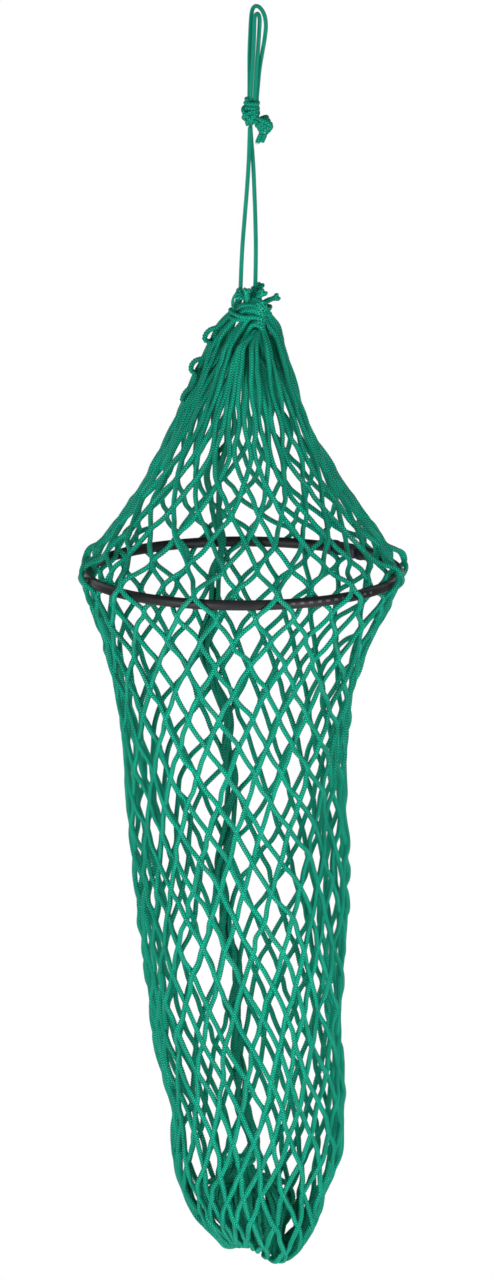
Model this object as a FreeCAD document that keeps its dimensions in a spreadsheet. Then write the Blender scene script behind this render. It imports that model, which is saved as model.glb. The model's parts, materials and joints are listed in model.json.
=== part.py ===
"""Hooped net bag: a drawcord with a hanging loop, a netting cone, a pipe hoop and a long netting bag.

Units are millimetres, +Z is up. The origin is where a hook bears, inside the top of the hanging loop.
The bag hangs down from there. Netting is made as thin closed bands that slide inside one another.
"""

import FreeCAD, Part
import math
import os

import Sketcher
from FreeCAD import Placement, Rotation, Vector

SIZES = {
    # drawcord and its knots
    "cord_diameter": 5.0,
    "loop_knot_depth": 129.0,
    "loop_knot_x": -7.5,
    "loop_knot_radius": 11.0,
    "loop_knot_height": 32.0,
    "loop_wrap_radius": 9.6,
    "end_knot_x": 8.5,
    "end_knot_depth": 146.0,
    "end_knot_radius": 9.5,
        # gathered mouth
    "mouth_x": -9.0,
    "mouth_depth": 382.0,
    "mouth_dome_radius": 25.0,
    "mouth_neck_radius": 26.0,
    "mouth_skirt_radius": 36.0,
    "mouth_skirt_drop": 20.0,
    "mouth_ring_drop": 3.2,
    "mesh_loop_radius": 5.0,
    "netting_cord_diameter": 6.0,
    "cut_end_length": 15.0,
    "cut_end_root": 4.0,
    # netting bands
    "net_x": -17.5,
    "cone_top_x": -14.0,
    "net_wall": 3.0,
    "net_gap": 1.6,
    # hoop
    "hoop_depth": 716.5,
    "hoop_radius": 195.0,
    "pipe_radius": 6.5,
    "pipe_bore_radius": 4.5,
    "joint_azimuth": 41.0,
    "joint_gap_angle": 0.6,
    "plug_angle": 34.0,
    "sleeve_angle": 28.0,
    "sleeve_radius": 8.6,
    "band_angle": 1.6,
    "band_radius": 9.9,
    "band_offset_angle": 12.6,
    "screw_radius": 2.6,
    "screw_height": 12.0,
    # seam and base
    "seam_radius": 5.5,
    "seam_azimuth": 104.0,
    "seam_clearance": 3.4,
    "base_gather_radius": 11.0,
    "base_gather_height": 26.0,
    "base_gather_depth": 1479.0,
    "base_knot_radius": 7.5,
}

# Each netting band: label, axis alias, depth of its top and bottom, outer radius there.
BANDS = [
    ("cone_band_1", "cone_top_x", 402.3, 490.0, 38.5, 66.0),
    ("cone_band_2", "net_x", 490.5, 590.0, 74.2, 116.5),
    ("cone_band_3", "net_x", 590.5, 680.0, 121.2, 178.0),
    ("shoulder_upper", "net_x", 680.5, 706.0, 183.0, 196.0),
    ("shoulder_lower", "net_x", 727.0, 850.0, 196.0, 157.0),
    ("bag_band_1", "net_x", 850.5, 990.0, 152.0, 135.5),
    ("bag_band_2", "net_x", 990.5, 1130.0, 130.8, 126.0),
    ("bag_band_3", "net_x", 1130.5, 1400.0, 121.3, 112.0),
]

# The closed base: the side wall curves in to a rim, and the netting turns up inside to a tied gather.
BASE_SIDE = [(1400.5, 107.3), (1470.0, 106.5), (1527.0, 91.0), (1566.0, 66.0), (1590.0, 38.0)]
BASE_DIMPLE = [(1479.5, 14.0), (1520.0, 19.0), (1589.8, 34.6)]

# Seam pieces inside the back wall: label and the band that each one follows.
SEAMS = [
    ("seam_cone_2", "cone_band_2"),
    ("seam_cone_3", "cone_band_3"),
    ("seam_shoulder", "shoulder_lower"),
    ("seam_bag_1", "bag_band_1"),
    ("seam_bag_2", "bag_band_2"),
    ("seam_bag_3", "bag_band_3"),
]

# Drawcord routes, chosen by hand: loop bights over the hook, then the legs down to the mouth.
OUTER_BIGHT = [
    (-9.6, 2.8, -118.0), (-9.3, 2.9, -95.0), (-9.6, 2.7, -60.0), (-8.4, 2.4, -30.0), (-7.5, 2.2, -12.0),
    (-6.2, 2.2, -1.5), (-2.6, 2.2, 3.4), (2.4, 2.2, 2.4), (7.4, 2.2, -3.6), (10.6, 2.2, -13.0),
    (11.2, 2.2, -25.0), (9.0, 2.3, -42.0), (5.6, 2.5, -61.0), (2.4, 2.8, -80.0), (-0.6, 2.8, -118.0),
]
INNER_BIGHT = [
    (-8.6, -2.8, -118.0), (-7.4, -3.0, -95.0), (-5.0, -4.6, -62.0), (-3.6, -5.6, -34.0),
    (-3.4, -6.2, -18.0), (-3.2, -6.2, -10.2), (-1.4, -4.8, -5.8), (1.5, -2.0, -5.8),
    (3.2, -0.7, -10.2), (3.3, -0.8, -18.0), (2.4, -1.4, -34.0), (0.4, -2.2, -62.0),
    (-2.0, -2.9, -95.0), (-3.1, -2.8, -118.0),
]
LEFT_LEG = [
    (-8.9, -2.8, -148.5), (-9.4, -2.8, -166.0), (-10.2, -2.6, -190.0), (-12.0, -2.8, -222.0),
    (-15.6, -3.0, -266.0), (-19.2, -2.8, -312.0), (-20.6, -2.0, -357.4),
]
RIGHT_LEG = [
    (-8.2, 2.8, -148.5), (-7.2, 2.8, -166.0), (-5.0, 2.6, -190.0), (-3.6, 3.0, -222.0),
    (-2.0, 3.0, -266.0), (-1.2, 2.6, -312.0), (-2.2, 2.0, -355.6),
]
SEAM_BASE = [(-46.0, 92.0, -1404.0), (-40.0, 84.0, -1428.0), (-28.0, 62.0, -1448.0), (-21.0, 36.0, -1462.0)]
LONG_TAIL = [(5.6, 0.0, -157.4), (3.0, -0.8, -163.0), (0.2, -1.8, -169.6)]
SHORT_TAIL = [(11.6, -1.2, -157.4), (9.8, -2.2, -163.0), (6.6, -3.0, -168.4)]

# Cut mesh ends at the mouth: each stands straight out of the dome in its own direction.
CUT_ENDS = [
    ("cut_end_1", (-0.10, -0.62, 0.78)),
    ("cut_end_2", (0.35, 0.60, 0.72)),
    ("cut_end_3", (0.45, -0.55, 0.70)),
    ("cut_end_4", (0.88, -0.10, 0.46)),
]

doc = FreeCAD.newDocument("hooped_net_bag")


def make_sheet():
    """Spreadsheet of the driving dimensions, one alias a row."""
    sheet = doc.addObject("Spreadsheet::Sheet", "sizes")
    rows = dict(SIZES)
    for label, _axis, top, bottom, top_radius, bottom_radius in BANDS:
        rows[label + "_top"] = top
        rows[label + "_bottom"] = bottom
        rows[label + "_top_radius"] = top_radius
        rows[label + "_bottom_radius"] = bottom_radius
    for row, (alias, value) in enumerate(rows.items(), start=1):
        sheet.set(f"A{row}", alias)
        sheet.set(f"B{row}", str(value))
        sheet.setAlias(f"B{row}", alias)
    doc.recompute()
    return sheet


sheet = make_sheet()
parts = []


def size(alias):
    return float(sheet.get(alias))


def keep(obj, label):
    """Names a finished sub-part."""
    obj.Label = label
    parts.append(obj)
    return obj


def origin_plane(body, role):
    return next(f for f in body.Origin.OriginFeatures if f.Role == role)


def bind(sketch, constraint, name, formula):
    index = sketch.addConstraint(constraint)
    sketch.renameConstraint(index, name)
    sketch.setExpression(f"Constraints.{name}", formula)


def revolved_body(label, x_alias, depths, radii):
    """A wall turned about a vertical axis: its outer line runs through (radius, -depth) points.

    depths and radii are formulas on the sheet or plain numbers. The wall is net_wall thick, measured flat.
    """
    body = doc.addObject("PartDesign::Body", label + "_body")
    sketch = body.newObject("Sketcher::SketchObject", label + "_profile")
    sketch.AttachmentSupport = [(origin_plane(body, "XZ_Plane"), "")]
    sketch.MapMode = "FlatFace"
    wall = size("net_wall")
    outer = [(evaluate(r), evaluate(d)) for r, d in zip(radii, depths)]
    ring = outer + [(r - wall, d) for r, d in outer[::-1]]
    lines = len(ring)
    for (r_a, d_a), (r_b, d_b) in zip(ring, ring[1:] + ring[:1]):
        sketch.addGeometry(Part.LineSegment(Vector(r_a, -d_a, 0), Vector(r_b, -d_b, 0)), False)
    for i in range(lines):
        sketch.addConstraint(Sketcher.Constraint("Coincident", i, 2, (i + 1) % lines, 1))
    for i, (radius, depth) in enumerate(outer):
        inside = lines - 1 - i
        bind(sketch, Sketcher.Constraint("DistanceX", -1, 1, i, 1, radius), f"outer_radius_{i}", radii[i])
        bind(sketch, Sketcher.Constraint("DistanceY", i, 1, -1, 1, depth), f"outer_depth_{i}", depths[i])
        bind(sketch, Sketcher.Constraint("DistanceX", -1, 1, inside, 1, radius - wall),
             f"inner_radius_{i}", f"{radii[i]} - <<sizes>>.net_wall")
        bind(sketch, Sketcher.Constraint("DistanceY", inside, 1, -1, 1, depth), f"inner_depth_{i}", depths[i])
    turn = body.newObject("PartDesign::Revolution", label + "_turn")
    turn.Profile = sketch
    turn.ReferenceAxis = (sketch, ["V_Axis"])
    turn.Angle = 360.0
    body.setExpression("Placement.Base.x", f"<<sizes>>.{x_alias}")
    return keep(body, label)


def evaluate(formula):
    """A formula here is either a sheet alias or a plain number."""
    if formula.startswith("<<sizes>>."):
        return size(formula[len("<<sizes>>."):])
    return float(formula)


def netting_band(label, x_alias):
    depths = [f"<<sizes>>.{label}_top", f"<<sizes>>.{label}_bottom"]
    radii = [f"<<sizes>>.{label}_top_radius", f"<<sizes>>.{label}_bottom_radius"]
    return revolved_body(label, x_alias, depths, radii)


def rounded_route(points):
    """A wire of straight runs joined by tangent arcs, each as large as its two runs allow."""
    pts = [Vector(*p) for p in points]
    edges = []
    radii = []
    start = pts[0]
    for before, corner, after in zip(pts, pts[1:], pts[2:]):
        into = (corner - before).normalize()
        out = (after - corner).normalize()
        half_turn = into.getAngle(out) / 2
        shorter = min((corner - before).Length, (after - corner).Length)
        setback = 0.45 * shorter
        radius = setback / math.tan(half_turn)
        arc_start = corner - into * setback
        arc_end = corner + out * setback
        to_centre = (out - into).normalize()
        middle = corner + to_centre * (radius / math.cos(half_turn) - radius)
        edges.append(Part.LineSegment(start, arc_start).toShape())
        edges.append(Part.Arc(arc_start, middle, arc_end).toShape())
        radii.append(radius)
        start = arc_end
    edges.append(Part.LineSegment(start, pts[-1]).toShape())
    return Part.Wire(edges), radii


def cord_tube(label, points, radius):
    """A round tube along a rounded route."""
    wire, radii = rounded_route(points)
    first = Vector(*points[1]) - Vector(*points[0])
    ring = Part.Wire(Part.makeCircle(radius, Vector(*points[0]), first))
    solid = wire.makePipeShell([ring], True, False)
    obj = doc.addObject("Part::Feature", label + "_tube")
    obj.Shape = solid
    expected = math.pi * radius**2 * wire.Length
    listed = " ".join(f"{r:.0f}" for r in radii)
    print(f"{label}: length {wire.Length:.1f}, volume/expected {solid.Volume / expected:.4f}, radii {listed}")
    return keep(obj, label)


def ellipsoid(name, centre, radius, height, turn=Rotation()):
    """A rounded lump of cord: radius across, height along its own axis."""
    obj = doc.addObject("Part::Ellipsoid", name)
    obj.setExpression("Radius2", radius)
    obj.setExpression("Radius3", radius)
    obj.setExpression("Radius1", height)
    obj.Angle1 = -90.0
    obj.Angle2 = 90.0
    obj.Placement = Placement(centre, turn)
    return obj


def torus(name, ring_radius, tube_radius, centre, turn=Rotation(), sweep=None):
    obj = doc.addObject("Part::Torus", name)
    obj.setExpression("Radius1", ring_radius)
    obj.setExpression("Radius2", tube_radius)
    if sweep:
        obj.setExpression("Angle3", sweep)
    obj.Placement = Placement(centre, turn)
    return obj


def fused(label, shapes):
    obj = doc.addObject("Part::MultiFuse", label + "_fuse")
    obj.Shapes = shapes
    return keep(obj, label)


def cut(name, base, tool):
    obj = doc.addObject("Part::Cut", name)
    obj.Base = base
    obj.Tool = tool
    return obj


def make_knots():
    """The loop knot with two wraps, and the stopper knot beside it."""
    centre = Vector(size("loop_knot_x"), 0, -size("loop_knot_depth"))
    lump = ellipsoid("loop_knot_lump", centre, "<<sizes>>.loop_knot_radius", "<<sizes>>.loop_knot_height / 2")
    wraps = [
        torus(f"loop_knot_wrap_{i}", "<<sizes>>.loop_wrap_radius - <<sizes>>.cord_diameter / 2",
              "<<sizes>>.cord_diameter / 2", centre + Vector(0, 0, drop), Rotation(Vector(1, 0, 0), tilt))
        for i, (drop, tilt) in enumerate([(8.0, 8.0), (3.0, -10.0)])
    ]
    fused("loop_knot", [lump] + wraps)
    centre = Vector(size("end_knot_x"), 0, -size("end_knot_depth"))
    lean = Rotation(Vector(0, 1, 0), -20)
    lump = ellipsoid("end_knot_lump", centre, "<<sizes>>.end_knot_radius - 1.5", "<<sizes>>.end_knot_radius + 3", lean)
    wrap = torus("end_knot_wrap", "<<sizes>>.end_knot_radius - <<sizes>>.cord_diameter / 2",
                 "<<sizes>>.cord_diameter / 2", centre, Rotation(Vector(0, 1, 0), 25))
    fused("end_knot", [lump, wrap])


def make_mouth():
    """The gathered mouth: a domed top centred on the swing axis, a neck, and a flaring skirt."""
    body = doc.addObject("PartDesign::Body", "mouth_gather_body")
    sketch = body.newObject("Sketcher::SketchObject", "mouth_gather_profile")
    sketch.AttachmentSupport = [(origin_plane(body, "XZ_Plane"), "")]
    sketch.MapMode = "FlatFace"
    dome = size("mouth_dome_radius")
    neck = size("mouth_neck_radius")
    skirt = size("mouth_skirt_radius")
    drop = size("mouth_skirt_drop")
    sketch.addGeometry(Part.ArcOfCircle(Part.Circle(Vector(0, 0, 0), Vector(0, 0, 1), dome), 0, math.pi / 2), False)
    sketch.addGeometry(Part.LineSegment(Vector(0, dome, 0), Vector(0, -drop, 0)), False)
    sketch.addGeometry(Part.LineSegment(Vector(0, -drop, 0), Vector(skirt, -drop, 0)), False)
    sketch.addGeometry(Part.LineSegment(Vector(skirt, -drop, 0), Vector(neck, -drop / 2, 0)), False)
    sketch.addGeometry(Part.LineSegment(Vector(neck, -drop / 2, 0), Vector(dome, 0, 0)), False)
    for a, ea, b, eb in [(0, 2, 1, 1), (1, 2, 2, 1), (2, 2, 3, 1), (3, 2, 4, 1), (4, 2, 0, 1)]:
        sketch.addConstraint(Sketcher.Constraint("Coincident", a, ea, b, eb))
    sketch.addConstraint(Sketcher.Constraint("Coincident", 0, 3, -1, 1))
    sketch.addConstraint(Sketcher.Constraint("PointOnObject", 0, 1, -1))
    sketch.addConstraint(Sketcher.Constraint("Vertical", 1))
    sketch.addConstraint(Sketcher.Constraint("Horizontal", 2))
    bind(sketch, Sketcher.Constraint("Radius", 0, dome), "dome", "<<sizes>>.mouth_dome_radius")
    bind(sketch, Sketcher.Constraint("DistanceY", 1, 2, -1, 1, drop), "skirt_drop", "<<sizes>>.mouth_skirt_drop")
    bind(sketch, Sketcher.Constraint("DistanceX", -1, 1, 2, 2, skirt), "skirt", "<<sizes>>.mouth_skirt_radius")
    bind(sketch, Sketcher.Constraint("DistanceX", -1, 1, 3, 2, neck), "neck", "<<sizes>>.mouth_neck_radius")
    bind(sketch, Sketcher.Constraint("DistanceY", 3, 2, -1, 1, drop / 2), "neck_drop",
         "<<sizes>>.mouth_skirt_drop / 2")
    turn = body.newObject("PartDesign::Revolution", "mouth_gather_turn")
    turn.Profile = sketch
    turn.ReferenceAxis = (sketch, ["V_Axis"])
    turn.Angle = 360.0
    body.setExpression("Placement.Base.x", "<<sizes>>.mouth_x")
    body.setExpression("Placement.Base.z", "-<<sizes>>.mouth_depth")
    keep(body, "mouth_gather")
    centre = Vector(size("mouth_x"), 0, -size("mouth_depth") - size("mouth_ring_drop"))
    for i, (rise, tilt) in enumerate([(2.7, 2.0), (-2.7, -2.0)], start=1):
        ring = torus(f"mouth_ring_{i}", "<<sizes>>.mouth_neck_radius + <<sizes>>.cord_diameter * 0.56",
                     "<<sizes>>.cord_diameter / 2", centre + Vector(0, 0, rise), Rotation(Vector(0, 1, 0), tilt))
        keep(ring, f"mouth_cord_turn_{i}")
    side = Vector(-37.6, -4.0, -365.2)
    loop = torus("mouth_mesh_loop_ring", "<<sizes>>.mesh_loop_radius", "<<sizes>>.netting_cord_diameter / 2 - 0.6",
                 side, Rotation(Vector(1, 0, 0), 80))
    keep(loop, "mouth_mesh_loop")
    dome_centre = Vector(size("mouth_x"), 0, -size("mouth_depth"))
    for label, direction in CUT_ENDS:
        outward = Vector(*direction).normalize()
        foot = dome_centre + outward * (size("mouth_dome_radius") - size("cut_end_root"))
        stub = doc.addObject("Part::Cylinder", label + "_stub")
        stub.setExpression("Radius", "<<sizes>>.netting_cord_diameter / 2")
        stub.setExpression("Height", "<<sizes>>.cut_end_length + <<sizes>>.cut_end_root")
        stub.Placement = Placement(foot, Rotation(Vector(0, 0, 1), outward))
        keep(stub, label)


def hoop_arc(name, tube_radius, sweep, start_angle):
    """Part of a torus in the hoop's plane, sweep degrees long from start_angle."""
    centre = Vector(size("net_x"), 0, -size("hoop_depth"))
    turn = Rotation(Vector(0, 0, 1), start_angle)
    return torus(name, "<<sizes>>.hoop_radius", tube_radius, centre, turn, sweep)


def make_hoop():
    """A pipe bent into a ring, joined at the back by a plug, a sleeve and three bands with their heads."""
    azimuth = size("joint_azimuth")
    gap = size("joint_gap_angle")
    pipe_sweep = "360 - <<sizes>>.joint_gap_angle"
    outer = hoop_arc("pipe_outside", "<<sizes>>.pipe_radius", pipe_sweep, azimuth + gap / 2)
    bore = hoop_arc("pipe_bore", "<<sizes>>.pipe_bore_radius", pipe_sweep, azimuth + gap / 2)
    keep(cut("hoop_pipe_cut", outer, bore), "hoop_pipe")
    plug_start = azimuth - size("plug_angle") / 2
    keep(hoop_arc("plug_arc", "<<sizes>>.pipe_bore_radius", "<<sizes>>.plug_angle", plug_start), "hoop_plug")
    sleeve_start = azimuth - size("sleeve_angle") / 2
    sleeve = hoop_arc("sleeve_outside", "<<sizes>>.sleeve_radius", "<<sizes>>.sleeve_angle", sleeve_start)
    inside = hoop_arc("sleeve_inside", "<<sizes>>.pipe_radius", "<<sizes>>.sleeve_angle", sleeve_start)
    keep(cut("hoop_sleeve_cut", sleeve, inside), "hoop_sleeve")
    for label, side in (("left", 1), ("middle", 0), ("right", -1)):
        middle = azimuth + side * size("band_offset_angle")
        start = middle - size("band_angle") / 2
        band = hoop_arc(f"band_outside_{label}", "<<sizes>>.band_radius", "<<sizes>>.band_angle", start)
        inside = hoop_arc(f"band_inside_{label}", "<<sizes>>.sleeve_radius", "<<sizes>>.band_angle", start)
        keep(cut(f"hoop_band_cut_{label}", band, inside), f"hoop_band_{label}")
        around = math.radians(middle)
        reach = size("hoop_radius") - size("band_radius") - size("screw_radius")
        foot = Vector(size("net_x") + reach * math.cos(around), reach * math.sin(around),
                      -size("hoop_depth") - size("screw_height") / 2)
        screw = doc.addObject("Part::Cylinder", f"screw_{label}")
        screw.setExpression("Radius", "<<sizes>>.screw_radius")
        screw.setExpression("Height", "<<sizes>>.screw_height")
        screw.Placement = Placement(foot, Rotation())
        keep(screw, f"hoop_band_screw_{label}")


def seam_piece(label, band):
    """A straight thick bundle inside the back of a band, clear of its wall and of the bands beside it."""
    azimuth = math.radians(size("seam_azimuth"))
    inset = size("net_wall") + size("seam_radius") + size("seam_clearance")
    end_drop = 3.0

    def point(which, shift):
        radius = size(f"{band}_{which}_radius") - inset
        depth = size(f"{band}_{which}") + shift
        return Vector(size("net_x") + radius * math.cos(azimuth), radius * math.sin(azimuth), -depth)

    top = point("top", end_drop)
    bottom = point("bottom", -end_drop)
    bundle = doc.addObject("Part::Cylinder", label + "_bundle")
    bundle.setExpression("Radius", "<<sizes>>.seam_radius")
    bundle.Height = (bottom - top).Length
    bundle.Placement = Placement(top, Rotation(Vector(0, 0, 1), bottom - top))
    keep(bundle, label)


def make_base():
    """The lower end: side wall, upturned netting, the tied gather inside, its cord and its knot."""
    for label, profile in (("bag_base", BASE_SIDE), ("base_dimple", BASE_DIMPLE)):
        depths = [str(depth) for depth, _radius in profile]
        radii = [str(radius) for _depth, radius in profile]
        revolved_body(label, "net_x", depths, radii)
    foot = Vector(size("net_x"), 0, -size("base_gather_depth"))
    bundle = doc.addObject("Part::Cylinder", "base_gather_bundle")
    bundle.setExpression("Radius", "<<sizes>>.base_gather_radius")
    bundle.setExpression("Height", "<<sizes>>.base_gather_height")
    bundle.Placement = Placement(foot, Rotation())
    keep(bundle, "base_gather")
    for i, height in enumerate((8.0, 13.2), start=1):
        ring = torus(f"base_ring_{i}", "<<sizes>>.base_gather_radius + <<sizes>>.cord_diameter / 2",
                     "<<sizes>>.cord_diameter / 2", foot + Vector(0, 0, height))
        keep(ring, f"base_cord_turn_{i}")
    reach = size("base_gather_radius") + size("cord_diameter") + size("base_knot_radius")
    knot = ellipsoid("base_knot_lump", foot + Vector(-reach * 0.8, -reach * 0.6, 10.6),
                     "<<sizes>>.base_knot_radius", "<<sizes>>.base_knot_radius * 0.9")
    keep(knot, "base_knot")


def check_document():
    """Stops on any failed object or bad solid."""
    doc.recompute()
    for obj in doc.Objects:
        if "Invalid" in obj.State or "Error" in obj.State:
            raise RuntimeError(f"{obj.Name} failed: {obj.State}")
    for obj in parts:
        shape = obj.Shape
        if shape.isNull() or not shape.isValid() or len(shape.Solids) != 1:
            raise RuntimeError(f"{obj.Label} is not one valid solid")


for tube_label, route in [
    ("hang_loop_outer", OUTER_BIGHT),
    ("hang_loop_inner", INNER_BIGHT),
    ("drawcord_leg_left", LEFT_LEG),
    ("drawcord_leg_right", RIGHT_LEG),
    ("cord_tail_long", LONG_TAIL),
    ("cord_tail_short", SHORT_TAIL),
]:
    cord_tube(tube_label, route, size("cord_diameter") / 2)
cord_tube("seam_base", SEAM_BASE, size("seam_radius"))
make_knots()
make_mouth()
for band_row in BANDS:
    netting_band(band_row[0], band_row[1])
make_hoop()
for seam_label, seam_band in SEAMS:
    seam_piece(seam_label, seam_band)
make_base()
check_document()

os.makedirs("parts", exist_ok=True)
for part in parts:
    part.Shape.exportStep(f"parts/{part.Label}.step")
print(len(parts), "sub-parts written")
for part in parts:
    box = part.Shape.BoundBox
    print(f"{part.Label}: {part.Shape.Volume / 1000:.2f} cm3, z {box.ZMin:.1f} to {box.ZMax:.1f}")
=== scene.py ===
"""Hooped net bag: braided green netting on a pipe hoop, drawn shut by a cord with a hanging loop."""

import json
import math
from typing import NamedTuple

import bpy
import numpy as np
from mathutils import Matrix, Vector


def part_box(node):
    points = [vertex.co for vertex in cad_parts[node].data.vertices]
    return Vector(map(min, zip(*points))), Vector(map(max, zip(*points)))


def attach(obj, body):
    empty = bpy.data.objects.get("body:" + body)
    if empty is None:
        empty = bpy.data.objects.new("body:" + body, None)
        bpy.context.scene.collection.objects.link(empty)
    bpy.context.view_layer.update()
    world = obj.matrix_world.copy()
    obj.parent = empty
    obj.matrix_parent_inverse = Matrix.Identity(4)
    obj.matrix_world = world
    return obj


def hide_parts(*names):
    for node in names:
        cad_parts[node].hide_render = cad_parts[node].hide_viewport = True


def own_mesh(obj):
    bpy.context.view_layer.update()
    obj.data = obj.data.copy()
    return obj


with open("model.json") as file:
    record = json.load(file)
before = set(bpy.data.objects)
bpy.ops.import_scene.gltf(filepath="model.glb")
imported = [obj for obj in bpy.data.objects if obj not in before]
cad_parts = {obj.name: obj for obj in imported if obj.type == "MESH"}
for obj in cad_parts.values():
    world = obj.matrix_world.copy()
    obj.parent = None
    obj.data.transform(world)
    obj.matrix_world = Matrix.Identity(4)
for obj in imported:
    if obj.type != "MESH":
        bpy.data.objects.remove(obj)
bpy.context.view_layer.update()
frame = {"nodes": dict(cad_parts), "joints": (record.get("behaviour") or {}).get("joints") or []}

RANDOM = np.random.default_rng(11)
TAU = 2 * math.pi


def middle(node):
    low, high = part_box(node)
    return (low + high) / 2


def joint(name):
    return next(j for j in frame["joints"] if j["name"] == name)


# ---------------------------------------------------------------- sizes: from the frame, and of the cords

hoop_low, hoop_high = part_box("hoop_pipe")
HOOP_Z = (hoop_low.z + hoop_high.z) / 2
PIPE_R = (hoop_high.z - hoop_low.z) / 2
HOOP_X = (hoop_low.x + hoop_high.x) / 2
HOOP_R = (hoop_high.x - hoop_low.x) / 2 - PIPE_R
MOUTH = Vector(joint("net_swing")["pos_m"])

NET_CORD_R = 0.0032
DRAW_CORD_D = 0.005
MESHES_ROUND = 24
HALF_MESH = math.pi / MESHES_ROUND   # azimuth from one junction of a row to the next row's
BAR = 0.0425                         # the side of one mesh

# ---------------------------------------------------------------- camera

CAMERA_ELEVATION = math.radians(12.0)
CAMERA_DISTANCE = 27.0
CAMERA_AIM = Vector((-0.0131, 0.0, -0.8018))
CAMERA_REACH = 90.0
FRAME_HEIGHT = 1.600   # what the picture's long side shows at the aim


def make_camera():
    data = bpy.data.cameras.new("camera")
    camera = bpy.data.objects.new("camera", data)
    bpy.context.scene.collection.objects.link(camera)
    away = Vector((0.0, -math.cos(CAMERA_ELEVATION), math.sin(CAMERA_ELEVATION)))
    camera.location = CAMERA_AIM + away * CAMERA_DISTANCE
    camera.rotation_euler = (math.pi / 2 - CAMERA_ELEVATION, 0.0, 0.0)
    data.lens_unit = "FOV"
    data.sensor_fit = "AUTO"
    data.angle = 2 * math.atan(FRAME_HEIGHT / 2 / CAMERA_DISTANCE)
    data.clip_end = CAMERA_REACH
    bpy.context.scene.camera = camera


make_camera()

# ---------------------------------------------------------------- mesh helpers


def mesh_object(name, verts, quads, uvs, material):
    """A smooth mesh of quads from arrays: verts (n, 3), quads (m, 4), uvs (m, 4, 2)."""
    mesh = bpy.data.meshes.new(name)
    mesh.vertices.add(len(verts))
    mesh.vertices.foreach_set("co", np.asarray(verts, np.float32).ravel())
    mesh.loops.add(quads.size)
    mesh.loops.foreach_set("vertex_index", quads.astype(np.int32).ravel())
    mesh.polygons.add(len(quads))
    mesh.polygons.foreach_set("loop_start", np.arange(0, quads.size, 4, dtype=np.int32))
    mesh.update(calc_edges=True)
    layer = mesh.uv_layers.new(name="strand")
    layer.data.foreach_set("uv", np.asarray(uvs, np.float32).ravel())
    mesh.polygons.foreach_set("use_smooth", np.ones(len(quads), bool))
    mesh.materials.append(material)
    mesh.validate()
    piece = bpy.data.objects.new(name, mesh)
    bpy.context.scene.collection.objects.link(piece)
    return piece


def ease(share):
    """From 0 to 1 with soft ends."""
    share = np.clip(share, 0, 1)
    return share * share * (3 - 2 * share)


def turned(phi, start):
    """The angle from one azimuth to another, at most half a turn either way."""
    return (phi - start + math.pi) % TAU - math.pi


def unit(v):
    return v / np.maximum(np.linalg.norm(v, axis=-1, keepdims=True), 1e-12)


SLANTED = np.array([0.31, 0.93, 0.17])   # no cord starts along this direction


def transported_frames(line):
    """Normals and binormals carried along a curve without twist: line (m, 3)."""
    tangents = unit(np.gradient(line, axis=0))
    normals = np.zeros_like(line)
    normals[0] = unit(np.cross(tangents[0], SLANTED))
    for i in range(1, len(line)):
        carried = normals[i - 1]
        normals[i] = unit(carried - tangents[i] * np.sum(carried * tangents[i]))
    return normals, np.cross(tangents, normals)


def resampled(curve, step):
    """One curve (m, 3) at even spacing near step."""
    lengths = np.r_[0, np.cumsum(np.linalg.norm(np.diff(curve, axis=0), axis=1))]
    count = max(3, int(round(lengths[-1] / step)) + 1)
    even = np.linspace(0, lengths[-1], count)
    return np.stack([np.interp(even, lengths, curve[:, k]) for k in range(3)], axis=1), lengths[-1]


def smooth_through(points, per_span=10):
    """A centripetal Catmull-Rom line through points (n, 3)."""
    p = np.vstack([2 * points[0] - points[1], points, 2 * points[-1] - points[-2]])
    gaps = np.sqrt(np.maximum(np.linalg.norm(np.diff(p, axis=0), axis=1), 1e-9))
    t = np.r_[0, np.cumsum(gaps)]
    out = []
    for i in range(1, len(p) - 2):
        u = np.linspace(t[i], t[i + 1], per_span, endpoint=False)[:, None]
        a1 = ((t[i] - u) * p[i - 1] + (u - t[i - 1]) * p[i]) / (t[i] - t[i - 1])
        a2 = ((t[i + 1] - u) * p[i] + (u - t[i]) * p[i + 1]) / (t[i + 1] - t[i])
        a3 = ((t[i + 2] - u) * p[i + 1] + (u - t[i + 1]) * p[i + 2]) / (t[i + 2] - t[i + 1])
        b1 = ((t[i + 1] - u) * a1 + (u - t[i - 1]) * a2) / (t[i + 1] - t[i - 1])
        b2 = ((t[i + 2] - u) * a2 + (u - t[i]) * a3) / (t[i + 2] - t[i])
        out.append(((t[i + 1] - u) * b1 + (u - t[i]) * b2) / (t[i + 1] - t[i]))
    out.append(p[-2][None])
    return np.vstack(out)


BRAID_PITCH = 0.0033   # one stitch of the braid along a cord
BRAID_LOBES = 4        # stitches round it
STITCHES = 0.75        # how much of the relief is single stitches
BEADS = 0.55           # how much of it swells the whole cord at every stitch
END_TAPER = 0.35       # the last ring at each end is drawn in to this share of the radius


class Braid(NamedTuple):
    """Braided cords as arrays; for each quad also the length left to its cord's end and its ring's middle."""

    verts: np.ndarray
    quads: np.ndarray
    uvs: np.ndarray
    left: np.ndarray
    centre: np.ndarray


def braided_radius(radius, v, sides, relief):
    """The radius round every ring, v (m, 1): raised and sunk stitches alternate like a draughtboard."""
    u = np.arange(sides)[None] / sides
    stitches = np.maximum(np.cos(TAU * (BRAID_LOBES * u + v)), np.cos(TAU * (BRAID_LOBES * u - v)))
    raised = 1 + relief * (STITCHES * stitches + BEADS * np.cos(TAU * v))
    r = np.broadcast_to(np.asarray(radius, float), (len(v),))[:, None] * raised
    r[[0, -1]] *= END_TAPER
    return r


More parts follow.
